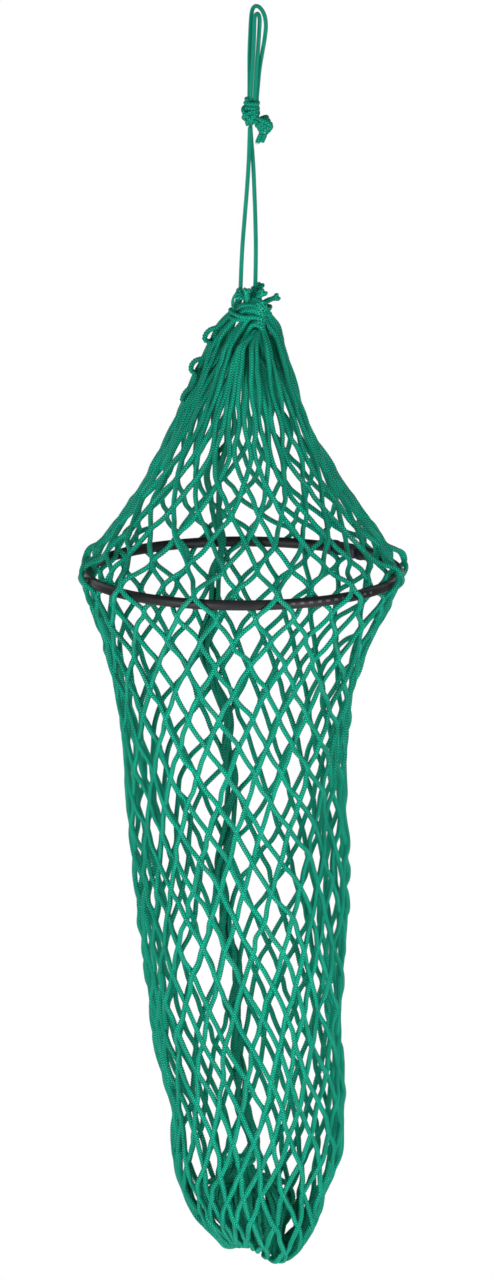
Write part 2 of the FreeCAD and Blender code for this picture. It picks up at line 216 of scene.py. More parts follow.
def ring_quads(v, sides):
    """The quads between rings and their strand map: u once round the cord, v one unit a stitch."""
    i = np.arange(len(v) - 1)[:, None]
    k = np.arange(sides)[None]
    k2 = (k + 1) % sides
    quads = np.stack([i * sides + k, i * sides + k2, (i + 1) * sides + k2, (i + 1) * sides + k], axis=-1)
    u0, u1 = k / sides + 0 * i, (k + 1) / sides + 0 * i
    v0, v1 = v[i, 0] + 0 * k, v[i + 1, 0] + 0 * k
    corners = [np.stack(corner, -1) for corner in ((u0, v0), (u1, v0), (u1, v1), (u0, v1))]
    return quads.reshape(-1, 4), np.stack(corners, axis=2).reshape(-1, 4, 2)


def cord_mesh(curves, radius, sides, ring, relief):
    """Braided cord round each curve, with rings about ring metres apart."""
    angle = np.arange(sides) / sides * TAU
    parts = []
    base = 0
    for curve in curves:
        line, length = resampled(np.asarray(curve, float), ring)
        m = len(line)
        normals, binormals = transported_frames(line)
        v = (np.arange(m) * length / (m - 1) / BRAID_PITCH)[:, None]
        r = braided_radius(radius, v, sides, relief)
        verts = (
            line[:, None]
            + (r * np.cos(angle))[..., None] * normals[:, None]
            + (r * np.sin(angle))[..., None] * binormals[:, None]
        )
        quads, uvs = ring_quads(v, sides)
        left = np.repeat(length * (1 - (np.arange(m - 1) + 0.5) / (m - 1)), sides)
        centre = np.repeat((line[1:] + line[:-1]) / 2, sides, axis=0)
        parts.append(Braid(verts.reshape(-1, 3), quads + base, uvs, left, centre))
        base += m * sides
    return Braid(*(np.concatenate(arrays) for arrays in zip(*parts)))


def picked(braid, mask):
    """The verts, quads and uvs of the quads in mask, with unused points dropped."""
    quads = braid.quads[mask]
    used = np.unique(quads)
    where = np.zeros(len(braid.verts), np.int64)
    where[used] = np.arange(len(used))
    return braid.verts[used], where[quads], braid.uvs[mask]


# ---------------------------------------------------------------- materials


class Nodes:
    """Small helper for building a material's node tree."""

    def __init__(self, name):
        self.material = bpy.data.materials.new(name)
        self.material.use_nodes = True
        self.tree = self.material.node_tree
        self.shader = self.tree.nodes["Principled BSDF"]

    def add(self, kind, **settings):
        node = self.tree.nodes.new(kind)
        for key, value in settings.items():
            if key in node.inputs.keys():
                node.inputs[key].default_value = value
            else:
                setattr(node, key, value)
        return node

    def link(self, source, target):
        self.tree.links.new(source, target)

    def math(self, operation, a, b=None, c=None):
        node = self.tree.nodes.new("ShaderNodeMath")
        node.operation = operation
        for i, value in enumerate((a, b, c)):
            if value is None:
                continue
            if isinstance(value, (int, float)):
                node.inputs[i].default_value = value
            else:
                self.link(value, node.inputs[i])
        return node.outputs[0]

    def place(self):
        """The point of the piece, in metres."""
        return self.add("ShaderNodeTexCoord").outputs["Object"]

    def noise(self, vector, scale, detail):
        node = self.add("ShaderNodeTexNoise", Scale=scale, Detail=detail)
        self.link(vector, node.inputs["Vector"])
        return node.outputs["Fac"]

    def mix(self, share, first, second):
        """From the first colour, which may be another node's, to the second."""
        node = self.add("ShaderNodeMix", data_type="RGBA")
        self.link(share, node.inputs["Factor"])
        if isinstance(first, tuple):
            node.inputs["A"].default_value = (*first, 1)
        else:
            self.link(first, node.inputs["A"])
        node.inputs["B"].default_value = (*second, 1)
        return node.outputs["Result"]

    def weighted(self, terms, total):
        """Every value times its weight, added to a total."""
        for value, weight in terms:
            total = self.math("ADD", self.math("MULTIPLY", value, weight), total)
        return total

    def shade(self, name, value):
        """Give the shader's input a number or another node's value."""
        if isinstance(value, (int, float)):
            self.shader.inputs[name].default_value = value
        else:
            self.link(value, self.shader.inputs[name])

    def bump(self, height, strength, distance):
        node = self.add("ShaderNodeBump", Strength=strength, Distance=distance)
        self.link(height, node.inputs["Height"])
        self.shade("Normal", node.outputs[0])


def braided(name, yarn, groove_shade, roughness=0.66):
    """Braided polypropylene, of two families of helical yarns that go over and under in turn.

    The grooves between them carry painted shade, every stitch's bead a painted highlight, the tone changes
    slowly over the piece and fine fibres run along the cord.
    """
    nodes = Nodes(name)
    strand_map = nodes.add("ShaderNodeUVMap", uv_map="strand").outputs["UV"]
    split = nodes.add("ShaderNodeSeparateXYZ")
    nodes.link(strand_map, split.inputs[0])
    along = split.outputs["Y"]
    around = nodes.math("MULTIPLY", split.outputs["X"], float(BRAID_LOBES))

    def wave(turns):
        return nodes.math("COSINE", nodes.math("MULTIPLY", turns, TAU))

    first, second = wave(nodes.math("ADD", around, along)), wave(nodes.math("SUBTRACT", around, along))
    height = nodes.math("MAXIMUM", first, second)
    slow = nodes.noise(nodes.place(), 9.0, 2.0)
    stretch = nodes.add("ShaderNodeMapping", Scale=(40.0, 2.2, 1.0))
    nodes.link(strand_map, stretch.inputs["Vector"])
    fibre = nodes.noise(stretch.outputs["Vector"], 3.0, 3.0)
    # Painted shade: the sunk parts between stitches take the darker groove colour, the raised ones the
    # yarn's.
    raised = nodes.add("ShaderNodeMapRange")
    raised.inputs["From Min"].default_value = 0.05
    raised.inputs["From Max"].default_value = 0.92
    nodes.link(height, raised.inputs["Value"])
    final = nodes.add("ShaderNodeHueSaturation")
    nodes.link(nodes.mix(raised.outputs[0], groove_shade, yarn), final.inputs["Color"])
    # Painted highlight: the cosine along the cord lightens every stitch's bead; the slow and fibre noise are
    # the yarn's own tone.
    nodes.link(nodes.weighted([(slow, 0.5), (fibre, 0.35), (wave(along), 0.20)], 0.60), final.inputs["Value"])
    nodes.shade("Base Color", final.outputs[0])
    nodes.shade("Roughness", nodes.weighted([(fibre, 0.25)], roughness - 0.12))
    nodes.bump(nodes.weighted([(fibre, 0.6)], height), strength=0.8, distance=0.0009)
    nodes.shade("Specular IOR Level", 0.22)
    return nodes.material


NETTING = braided("netting_braid", (0.0050, 0.585, 0.380), (0.0010, 0.120, 0.072))
# Painted shade: the netting drawn up inside the bag is the same cord, coloured darker for the shade there.
DIMPLE_PAINTED_SHADE = braided("dimple_braid_painted_shade", (0.0045, 0.400, 0.245), (0.0010, 0.090, 0.052))
# Painted shade: the seam's cords are coloured darker than the netting for the shade at the back of the bag.
SEAM_PAINTED_SHADE = braided("seam_braid_painted_shade", (0.0042, 0.370, 0.240), (0.0012, 0.085, 0.050))
DRAWCORD = braided("drawcord_braid", (0.0050, 0.600, 0.390), (0.0012, 0.110, 0.064), roughness=0.60)

# ---------------------------------------------------------------- outline of the netting

# Height and radius of the netting's outline, from the neck of the gather down to the bottom rim, round it and
# up inside the bag to the base gather.
OUTLINE = [
    (-0.372, 0.0215), (-0.384, 0.0245), (-0.402, 0.035), (-0.440, 0.050), (-0.479, 0.064), (-0.530, 0.086),
    (-0.581, 0.111), (-0.632, 0.141), (-0.683, 0.179), (-0.702, 0.193), (-0.720, 0.197), (-0.745, 0.189),
    (-0.785, 0.173), (-0.837, 0.157), (-0.888, 0.147), (-0.952, 0.138), (-1.041, 0.130), (-1.143, 0.123),
    (-1.245, 0.118), (-1.335, 0.115), (-1.399, 0.109), (-1.460, 0.106), (-1.501, 0.098), (-1.535, 0.086),
    (-1.562, 0.070), (-1.580, 0.052), (-1.586, 0.040), (-1.577, 0.032), (-1.550, 0.040), (-1.522, 0.053),
    (-1.508, 0.050), (-1.500, 0.036), (-1.494, 0.018), (-1.480, 0.0095), (-1.464, 0.0075), (-1.448, 0.0080),
]
# The netting's middle line sways a little from side to side on its way down: height and x.
SWAY = [
    (-0.300, -0.0080), (-0.384, -0.0090), (-0.440, -0.0135), (-0.530, -0.0175), (-0.660, -0.0185),
    (-0.716, HOOP_X), (-0.760, -0.0225), (-0.820, -0.0285), (-0.900, -0.0300), (-1.000, -0.0265),
    (-1.100, -0.0200), (-1.220, -0.0150), (-1.300, -0.0110), (-1.380, 0.0000), (-1.440, 0.0030),
    (-1.500, -0.0040), (-1.560, 0.0000), (-1.620, 0.0000),
]
FRONT_NODE = math.radians(-18)   # azimuth, from the front, of a junction that sits outside the hoop


def table_line(table):
    """A fine smooth line through rows of height and another value."""
    return smooth_through(np.array([(*row, 0.0) for row in table]), 8)


outline = table_line(OUTLINE)
S_LINE = np.r_[0, np.cumsum(np.linalg.norm(np.diff(outline, axis=0), axis=1))]   # arc length down the outline
Z_LINE, R_LINE = outline[:, 0], outline[:, 1]
RIM = int(np.argmin(Z_LINE))
OUTER = slice(0, RIM + 1)   # the part of the outline above the rim, on the outside
SWAY_LINE = table_line(SWAY)[::-1]


def sway(z):
    return np.interp(z, SWAY_LINE[:, 0], SWAY_LINE[:, 1])


def arc_at_height(z):
    """Arc length where the outer side of the outline reaches a height."""
    return float(np.interp(-z, -Z_LINE[OUTER], S_LINE[OUTER]))


def radius_at(s):
    return max(float(np.interp(s, S_LINE, R_LINE)), 0.008)


S_HOOP = arc_at_height(HOOP_Z)
S_OPEN = arc_at_height(-0.640)   # below this the cone's meshes hang evenly
BUNCHED = 0.13                   # above it they are bunched to the front and back
S_LOW = arc_at_height(-1.480)    # below this the bottom's lobes begin
S_RIM = S_LINE[RIM]
S_END = S_LINE[-1]
GATHER = middle("base_gather")


def ripples(count, around, along_scale, strength):
    """A smooth random field over azimuth and arc length."""
    terms = []
    for _ in range(count):
        terms.append((RANDOM.integers(around[0], around[1] + 1), RANDOM.uniform(0.5, 1.5) / along_scale * TAU,
                      RANDOM.uniform(0, TAU), RANDOM.uniform(0.5, 1.0)))
    total = math.sqrt(sum(t[3] ** 2 for t in terms) / 2)

    def field(s, phi):
        value = 0.0
        for m, k, phase, size in terms:
            value = value + size * np.sin(m * phi + k * s + phase)
        return value * strength / total

    return field


shift_field = ripples(8, (2, 8), 0.55, 0.0046)     # sideways, metres
height_field = ripples(6, (1, 5), 0.50, 0.0040)    # up and down, metres
depth_field = ripples(7, (2, 6), 0.45, 0.0040)     # in and out, metres

# Regular waves round the netting: how many, phase and size.
BOTTOM_LOBES = [(2, 0.9, 0.18), (3, -1.0, 0.03)]    # share of the radius
BOTTOM_DIPS = [(2, 2.0, 0.004), (1, -0.4, -0.004)]   # up and down, metres
PLEATS = [(7, 1.1, 0.13), (11, 0.4, 0.09)]           # share of the radius, inside the bag
PLEAT_DIPS = [(9, 2.2, 0.006)]                       # up and down, metres, inside the bag
BOTTOM_LIFT = 0.006
CORNER_AT = math.radians(22)   # the bag's lowest corner, from the front
CORNER_SPREAD = 0.32
CORNER_DROP = 0.012
CORNER_SWELL = 0.14


def waves(phi, terms):
    return sum(size * np.sin(count * phi + phase) for count, phase, size in terms)


def near_hoop(s, reach=0.05):
    return np.exp(-((s - S_HOOP) / reach) ** 2)


def surface(s, phi, out=0.0):
    """Points of the netting: arc length down the outline, azimuth from the front, distance proud of it."""
    z = np.interp(s, S_LINE, Z_LINE)
    r = np.interp(s, S_LINE, R_LINE)
    loose = (1 - 0.9 * near_hoop(s)) * np.clip(r / 0.10, 0.12, 1.0)
    low = np.clip((s - S_LOW) / 0.10, 0, 1) * np.clip((S_END - 0.05 - s) / 0.08, 0, 1)
    inside = np.clip((s - S_RIM) / 0.09, 0, 1)
    pleated = inside * np.clip((S_END - s) / 0.07, 0, 1)
    corner = low * np.exp(-((turned(phi, CORNER_AT) / CORNER_SPREAD) ** 2))
    r = r * (1 + low * waves(phi, BOTTOM_LOBES) + CORNER_SWELL * corner + pleated * waves(phi, PLEATS))
    r = r + depth_field(s, phi) * loose
    z = z + height_field(s, phi) * loose - CORNER_DROP * corner
    z = z + low * (waves(phi, BOTTOM_DIPS) + BOTTOM_LIFT) + pleated * waves(phi, PLEAT_DIPS)
    phi = phi + shift_field(s, phi) * loose / np.maximum(r, 0.02)
    phi = phi - BUNCHED * ease((S_OPEN - s) / 0.14) * np.sin(2 * phi)
    r = np.maximum(r, 0.002) + out
    middle_x = sway(z) * (1 - inside) + GATHER.x * inside
    return np.stack([middle_x + r * np.sin(phi), GATHER.y * inside - r * np.cos(phi), z], axis=-1)


# ---------------------------------------------------------------- rows of junctions

ROW_ABOVE_HOOP = 0.014
FIRST_ROW = 0.004             # no row is nearer than this to the outline's start
LEAST_STEP = 0.5 * BAR        # rows are at least this far apart down the outline


def row_positions():
    """Arc lengths of the rows, top to bottom, and which one is just above the hoop."""

    def step(s):
        half = HALF_MESH * float(np.interp(s, S_LINE, R_LINE))
        return math.sqrt(max(BAR ** 2 - half ** 2, LEAST_STEP ** 2))

    start = arc_at_height(HOOP_Z + ROW_ABOVE_HOOP)
    up, down = [start], [start]
    while up[-1] - step(up[-1]) > FIRST_ROW:
        up.append(up[-1] - step(up[-1]))
    while down[-1] + step(down[-1]) < S_END:
        down.append(down[-1] + step(down[-1]))
    return np.array(up[::-1] + down[1:]), len(up) - 1


ROWS, HOOP_ROW = row_positions()


def twist(k):
    """How far the netting has turned at a row: it screws round a little below the hoop."""
    below = np.asarray(k, float) - HOOP_ROW
    return np.interp(below, [-10, 0, 2, 12, 18, 30], [0.10, 0.0, 0.02, 0.27, 0.33, 0.36])


JUNCTION_HALF = 0.0054     # half the length over which two cords run together
JUNCTION_SIDE = 0.0022     # how far each keeps to its side of the junction
JUNCTION_DEPTH = 0.0012    # and in front of or behind it
CONE_HALF = 0.0042         # what is added to the half length in the cone, most where it is narrow
CONE_SIDE = 0.0009         # and to the side
LEAST_R = 0.03             # shifts to the side turn no further than at this radius
CLEAR = NET_CORD_R + 0.0006
HOOP_OUT = HOOP_R + PIPE_R + CLEAR
HOOP_IN = HOOP_R - PIPE_R - CLEAR
SLEEVE_AT = math.radians(90 + 41)   # azimuth of the hoop's sleeve, which cords pass further off
SLEEVE_ROOM = 0.0036
CLOSED_ROW = -5   # from this row up the meshes hang shut: cords touch and turn back instead of crossing
SLACK = 0.0009    # how much cords stray between junctions
SLACK_ROWS = {-9: 0.011, -8: 0.011, -7: 0.006}               # how far loops stand out at the neck's left
SLACK_LOOP = [(-0.0065, 0.80), (0.0, 1.0), (0.0065, 0.80)]   # along the cord, share of how far it stands out


def neck_rank(kind, i):
    """Near the neck the cords can't all lie side by side: some sit deeper in the bundle."""
    return (1.0, 0.68, 1.0, 0.36)[(i + 2 * kind) % 4] if i % 3 else 1.0


def touching_row(k):
    """Near the neck the meshes hang shut."""
    return k - HOOP_ROW <= CLOSED_ROW


def node_number(kind, i, k):
    """The junction of a row that a cord comes to, in half meshes, and its side where meshes hang shut."""
    above = CLOSED_ROW - (k - HOOP_ROW)
    if above < 0:
        return 2 * i + kind * (k - HOOP_ROW), 0
    if above % 2:
        return 2 * i + kind * (CLOSED_ROW + 1), -1
    return 2 * i + kind * CLOSED_ROW, 1


def node_azimuth(kind, i, k):
    return FRONT_NODE + node_number(kind, i, k)[0] * HALF_MESH + float(twist(k))


def junction_shift(number, k):
    """A junction's own small shift to the side, along and outwards, the same for both of its cords."""
    if touching_row(k):
        return 0.0, 0.0, 0.0
    s = ROWS[k]
    seed = 12.9898 * (number % (2 * MESHES_ROUND)) + 78.233 * k
    odd = [2 * ((math.sin(seed + 37.7 * part) * 43758.5453) % 1.0) - 1 for part in range(3)]
    calm = float(1 - near_hoop(s, 0.03)) * min(1.0, max(0.0, (S_RIM - s) / 0.05))
    low = min(1.0, max(0.0, (s - S_LOW) / 0.08))
    return 0.0009 * odd[0] * calm, 0.0018 * odd[1] * calm, (0.0018 + 0.0026 * low) * odd[2] * calm


def junction_points(kind, i, k):
    """Where a cord comes to a junction and where it leaves: arc length, azimuth, distance proud."""
    s = ROWS[k]
    r = radius_at(s)
    number, kept_side = node_number(kind, i, k)
    out = JUNCTION_DEPTH * kind * (1 if (k + i) % 2 else -1)
    if k == HOOP_ROW:
        out += ((HOOP_IN if i % 2 else HOOP_OUT) - r) * 0.85
    cone = 1.0 if k < HOOP_ROW - 1 else 0.0
    aside = JUNCTION_SIDE + CONE_SIDE * cone
    half = JUNCTION_HALF + CONE_HALF * cone * math.exp(-(r / 0.14) ** 2)
    odd_side, odd_up, odd_out = junction_shift(number, k)
    points = []
    for end in (-1, 1):
        lateral = (kind * (kept_side or end) * aside + odd_side) / max(r, LEAST_R)
        points.append((s + end * half + odd_up, node_azimuth(kind, i, k) + lateral, out + odd_out))
    return points


def between_points(kind, i, k):
    """A cord's way to the next junction: past the hoop, out in a slack loop, or nearly straight."""
    s, s_next = ROWS[k], ROWS[k + 1]
    phi, phi_next = node_azimuth(kind, i, k), node_azimuth(kind, i, k + 1)
    if k == HOOP_ROW:
        room = SLEEVE_ROOM * math.exp(-turned(phi, SLEEVE_AT) ** 2 / 0.16)
        target = HOOP_IN - room if i % 2 else HOOP_OUT + room
        share = (S_HOOP - s) / (s_next - s)
        return [(S_HOOP, phi + (phi_next - phi) * share, target - radius_at(S_HOOP))]
    bulge, stray = RANDOM.normal(0, SLACK, 2) * (0.4 if touching_row(k) else 1.0)
    mid = (s + s_next) / 2
    phi_mid = (phi + phi_next) / 2 + stray / max(radius_at(mid), LEAST_R)
    if kind > 0 and k - HOOP_ROW in SLACK_ROWS and abs(turned(phi, -math.pi / 2)) < HALF_MESH:
        return [(mid + at, phi_mid, bulge + SLACK_ROWS[k - HOOP_ROW] * share) for at, share in SLACK_LOOP]
    return [(mid, phi_mid, bulge)]


def drawn_in(line, rank):
    """Pull a cord of a deeper rank towards the middle of the neck."""
    factor = 1 + (rank - 1) * ease((line[:, 2] + 0.490) / 0.075)
    middle_x = sway(line[:, 2])
    line[:, 0] = middle_x + (line[:, 0] - middle_x) * factor
    line[:, 1] *= factor
    return line


def strand(kind, i):
    """The middle line of a cord of the netting: on its way down kind +1 goes right and -1 goes left."""
    points = []
    for k in range(len(ROWS)):
        points += junction_points(kind, i, k)
        if k < len(ROWS) - 1:
            points += between_points(kind, i, k)
    return drawn_in(surface(*np.array(points).T), neck_rank(kind, i))


# Where the gathered meshes are pulled in at the front: the front ones low, the others over the top.
LOW_TUCK = Vector((-0.0005, -0.0255, -0.4060))
HIGH_TUCK = Vector((0.0045, -0.0225, -0.3780))
TUCK_LAYER = 0.0026
# Azimuths from the front that bound the front, near and side cords; the others come over from the back.
FRONT_SPAN = 0.26
NEAR_SPAN = 1.55
SIDE_SPAN = 2.3
# Ways to the high tuck: share of the neck's radius, height above the top, share of the way to the tuck.
NEAR_WAY = [(1.06, -0.0140, 0.18), (1.02, -0.0020, 0.52)]
SIDE_WAY = [(1.00, -0.0190, 0.05), (0.82, -0.0085, 0.28), (0.52, -0.0015, 0.62)]
BACK_WAY = [(0.70, 0.0020, 0.05), (0.38, 0.0, 0.25), (0.12, -0.0050, 0.45)]


def top_end(line):
    """A cord with its last stretch: up out of the neck, over the top of the gather and in at a tuck."""
    neck = line[np.argmax(line[:, 2])]
    middle_x = sway(neck[2])
    phi = math.atan2(neck[0] - middle_x, -neck[1])
    radius = math.hypot(neck[0] - middle_x, neck[1])
    off_front = abs(phi)
    lift, _, aside, _, small_lift, tail = RANDOM.uniform(-1, 1, 6)
    layer = TUCK_LAYER if RANDOM.random() < 0.5 else -TUCK_LAYER
    rise = min(max((off_front - FRONT_SPAN) / (SIDE_SPAN - FRONT_SPAN), 0.0), 1.0)
    top = -0.3945 + 0.0310 * rise ** 0.7 + 0.0020 * lift
    spread = 0.0040 if off_front < NEAR_SPAN else 0.0048
    end = Vector((HIGH_TUCK.x + spread * aside, HIGH_TUCK.y + layer, top - 0.0030 + 0.0015 * small_lift))
    highest = top - 0.0300
    if off_front < FRONT_SPAN:
        way, highest = [], -0.4150
        end = LOW_TUCK + Vector((0.012 * phi, layer, 0.0021 * small_lift))
    elif off_front < NEAR_SPAN:
        way = NEAR_WAY
    elif off_front < SIDE_SPAN:
        way = SIDE_WAY
    else:
        way, highest = [(0.98, (neck[2] - top) / 2, 0.0), *BACK_WAY], neck[2] - 0.004
    points = []
    for share, above, across in way:
        r = radius * share
        spot = Vector((middle_x + r * math.sin(phi), -r * math.cos(phi), top + above))
        points.append(spot.lerp(Vector((HIGH_TUCK.x, HIGH_TUCK.y, top + above)), across))
    if off_front < SIDE_SPAN:
        points.append(end)
    points.append(end + Vector((0.002 * tail, 0.0110, -0.0040)))
    return np.vstack([np.array(points[::-1]), line[line[:, 2] < highest]])


def netting_strands():
    pairs = [(kind, i) for i in range(MESHES_ROUND) for kind in (1, -1)]
    return [smooth_through(top_end(strand(kind, i)), 6) for kind, i in pairs]


# ---------------------------------------------------------------- netting pieces


class Stretch(NamedTuple):
    name: str
    body: str
    fold: str | None
    bottom: float
    netting_node: str
    seam_node: str | None


# The netting and the seam down its back are cut at the same heights, from the top down. Each stretch rides on
# its own body, as its CAD band does; a stretch that names a fold gets its own copy of its mesh.
STRETCHES = [
    Stretch("mouth", "mouth", None, -0.402, "mouth_gather", None),
    Stretch("cone_1", "mouth", "cone_fold", -0.490, "cone_band_1", None),
    Stretch("cone_2", "cone_2", "cone_fold_2", -0.590, "cone_band_2", "seam_cone_2"),
    Stretch("cone_3", "cone_3", "cone_fold_3", -0.680, "cone_band_3", "seam_cone_3"),
    Stretch("shoulder", "hoop", None, -0.735, "shoulder_upper", "seam_shoulder"),
    Stretch("bag_0", "hoop", "bag_fold", -0.850, "shoulder_lower", None),
    Stretch("bag_1", "bag_1", "bag_fold_2", -0.990, "bag_band_1", "seam_bag_1"),
    Stretch("bag_2", "bag_2", "bag_fold_3", -1.130, "bag_band_2", "seam_bag_2"),
    Stretch("bag_3", "bag_3", "bag_fold_4", -1.400, "bag_band_3", "seam_bag_3"),
    Stretch("base", "base", None, -math.inf, "bag_base", "seam_base"),
]
NET_RING = 0.0016       # from one ring of points to the next along a netting cord
DIMPLE_LENGTH = 0.150   # the last stretch of every cord, drawn up inside the bag


def stretches(braid):
    """Every stretch with the height of its upper end and the quads in it."""
    z = braid.centre[:, 2]
    top = math.inf
    for stretch in STRETCHES:
        yield stretch, top, (z <= top) & (z > stretch.bottom)
        top = stretch.bottom


def net_piece(name, braid, here, material, body, nodes, fold=None):
    piece = mesh_object(name, *picked(braid, here), material)
    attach(piece, body)
    if nodes:
        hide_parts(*nodes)
    if fold:
        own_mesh(piece)


def build_netting():
    braid = cord_mesh(netting_strands(), NET_CORD_R, sides=8, ring=NET_RING, relief=0.12)
    drawn_up = braid.left < DIMPLE_LENGTH
    # The drawn-up netting carries the darker painted-shade colour.
    net_piece("net_dimple", braid, drawn_up, DIMPLE_PAINTED_SHADE, "base", ("base_dimple", "base_gather"))
    for stretch, top, here in stretches(braid):
        net_piece(f"net_{stretch.name}", braid, here & ~drawn_up, NETTING, stretch.body,
                  (stretch.netting_node,), stretch.fold)


build_netting()

# ---------------------------------------------------------------- drawcord

OUTER_BIGHT = [
    (-0.0096, 0.0028, -0.1180), (-0.0093, 0.0029, -0.0950), (-0.0096, 0.0027, -0.0600),
    (-0.0084, 0.0024, -0.0300), (-0.0075, 0.0022, -0.0120), (-0.0062, 0.0022, -0.0015),
    (-0.0026, 0.0022, 0.0034), (0.0024, 0.0022, 0.0024), (0.0074, 0.0022, -0.0036),
    (0.0106, 0.0022, -0.0130), (0.0112, 0.0022, -0.0250), (0.0090, 0.0023, -0.0420),
    (0.0056, 0.0025, -0.0610), (0.0024, 0.0028, -0.0800), (-0.0006, 0.0028, -0.1180),
]
INNER_BIGHT = [
    (-0.0086, -0.0028, -0.1180), (-0.0074, -0.0030, -0.0950), (-0.0050, -0.0046, -0.0620),
    (-0.0036, -0.0056, -0.0340), (-0.0034, -0.0062, -0.0180), (-0.0032, -0.0062, -0.0102),
    (-0.0014, -0.0048, -0.0058), (0.0015, -0.0020, -0.0058), (0.0032, -0.0007, -0.0102),
    (0.0033, -0.0008, -0.0180), (0.0024, -0.0014, -0.0340), (0.0004, -0.0022, -0.0620),
    (-0.0020, -0.0029, -0.0950), (-0.0031, -0.0028, -0.1180),
]
LEFT_LEG = [
    (-0.0089, -0.0028, -0.1485), (-0.0094, -0.0028, -0.1660), (-0.0102, -0.0026, -0.1900),
    (-0.0120, -0.0028, -0.2220), (-0.0156, -0.0030, -0.2660), (-0.0192, -0.0028, -0.3120),
    (-0.0206, -0.0020, -0.3574),
]
RIGHT_LEG = [
    (-0.0082, 0.0028, -0.1485), (-0.0072, 0.0028, -0.1660), (-0.0050, 0.0026, -0.1900),
    (-0.0036, 0.0030, -0.2220), (-0.0020, 0.0030, -0.2660), (-0.0012, 0.0026, -0.3120),
    (-0.0022, 0.0020, -0.3556),
]
LONG_TAIL = [(0.0056, 0.0000, -0.1574), (0.0030, -0.0008, -0.1630), (0.0002, -0.0018, -0.1696)]
SHORT_TAIL = [(0.0116, -0.0012, -0.1574), (0.0098, -0.0022, -0.1630), (0.0066, -0.0030, -0.1684)]


def spline_line(points):
    """The smooth line of a route, read back from a spline without thickness."""
    curve = bpy.data.curves.new("route", "CURVE")
    curve.dimensions = "3D"
    curve.resolution_u = 16
    spline = curve.splines.new("NURBS")
    spline.points.add(len(points) - 1)
    for point, place in zip(spline.points, points):
        point.co = (*place, 1)
    spline.order_u = 3
    spline.use_endpoint_u = True
    holder = bpy.data.objects.new("route", curve)
    bpy.context.scene.collection.objects.link(holder)
    bpy.context.view_layer.update()
    mesh = bpy.data.meshes.new_from_object(holder)
    line = np.array([v.co[:] for v in mesh.vertices])
    bpy.data.objects.remove(holder)
    bpy.data.curves.remove(curve)
    bpy.data.meshes.remove(mesh)
    return line


TAIL_R = 0.0031
SHORT_TAIL_SHIFT = (-0.0014, 0.0, 0.0)   # the short tail is drawn a little further left than its CAD node
KNOT_CORD_R = DRAW_CORD_D / 2 + 0.0002


def cord_piece(name, lines, radius, body, nodes, material=DRAWCORD, sides=16):
    braid = cord_mesh(lines, radius, sides, ring=BRAID_PITCH / 4, relief=0.10)
    piece = mesh_object(name, braid.verts, braid.quads, braid.uvs, material)
    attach(piece, body)
    if nodes:
        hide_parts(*nodes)
    return piece


def line_length(line):
    return float(np.linalg.norm(np.diff(line, axis=0), axis=1).sum())


def free_cord(name, route, body, node):
    line = spline_line(route)
    piece = cord_piece(name, [line], DRAW_CORD_D / 2, body, (node,))


free_cord("loop_outer", OUTER_BIGHT, "hanger", "hang_loop_outer")
free_cord("loop_inner", INNER_BIGHT, "hanger", "hang_loop_inner")
free_cord("leg_left", LEFT_LEG, "cord_legs", "drawcord_leg_left")
free_cord("leg_right", RIGHT_LEG, "cord_legs", "drawcord_leg_right")
cord_piece("tail_long", [spline_line(LONG_TAIL)], TAIL_R, "hanger", ("cord_tail_long",))
cord_piece("tail_short", [spline_line(SHORT_TAIL) + SHORT_TAIL_SHIFT], TAIL_R, "hanger", ("cord_tail_short",))


def coil(centre, axis, radius, start, turns, length, wobble=0.0):
    """A helix of cord round an axis, as points, ten a turn."""
    axis = Vector(axis).normalized()
    side = axis.cross(Vector((0, 1, 0))).normalized()
    across = axis.cross(side)
    points = []
    steps = int(turns * 10)
    for step in range(steps + 1):
        share = step / steps
        angle = start + share * turns * TAU
        r = radius * (1 + wobble * math.sin(2.3 * angle))
        place = Vector(centre) + axis * ((share - 0.5) * length)
        points.append(place + side * (r * math.cos(angle)) + across * (r * math.sin(angle)))
    return [tuple(p) for p in points]


def beside(where, points):
    """A route given in millimetres from a place, in metres."""
    return [(where.x + x * 0.001, where.y + y * 0.001, where.z + z * 0.001) for x, y, z in points]


def add_knot(name, routes, node):
    lines = [smooth_through(np.array(route), 8) for route in routes]
    cord_piece(name, lines, KNOT_CORD_R, "hanger", (node,))


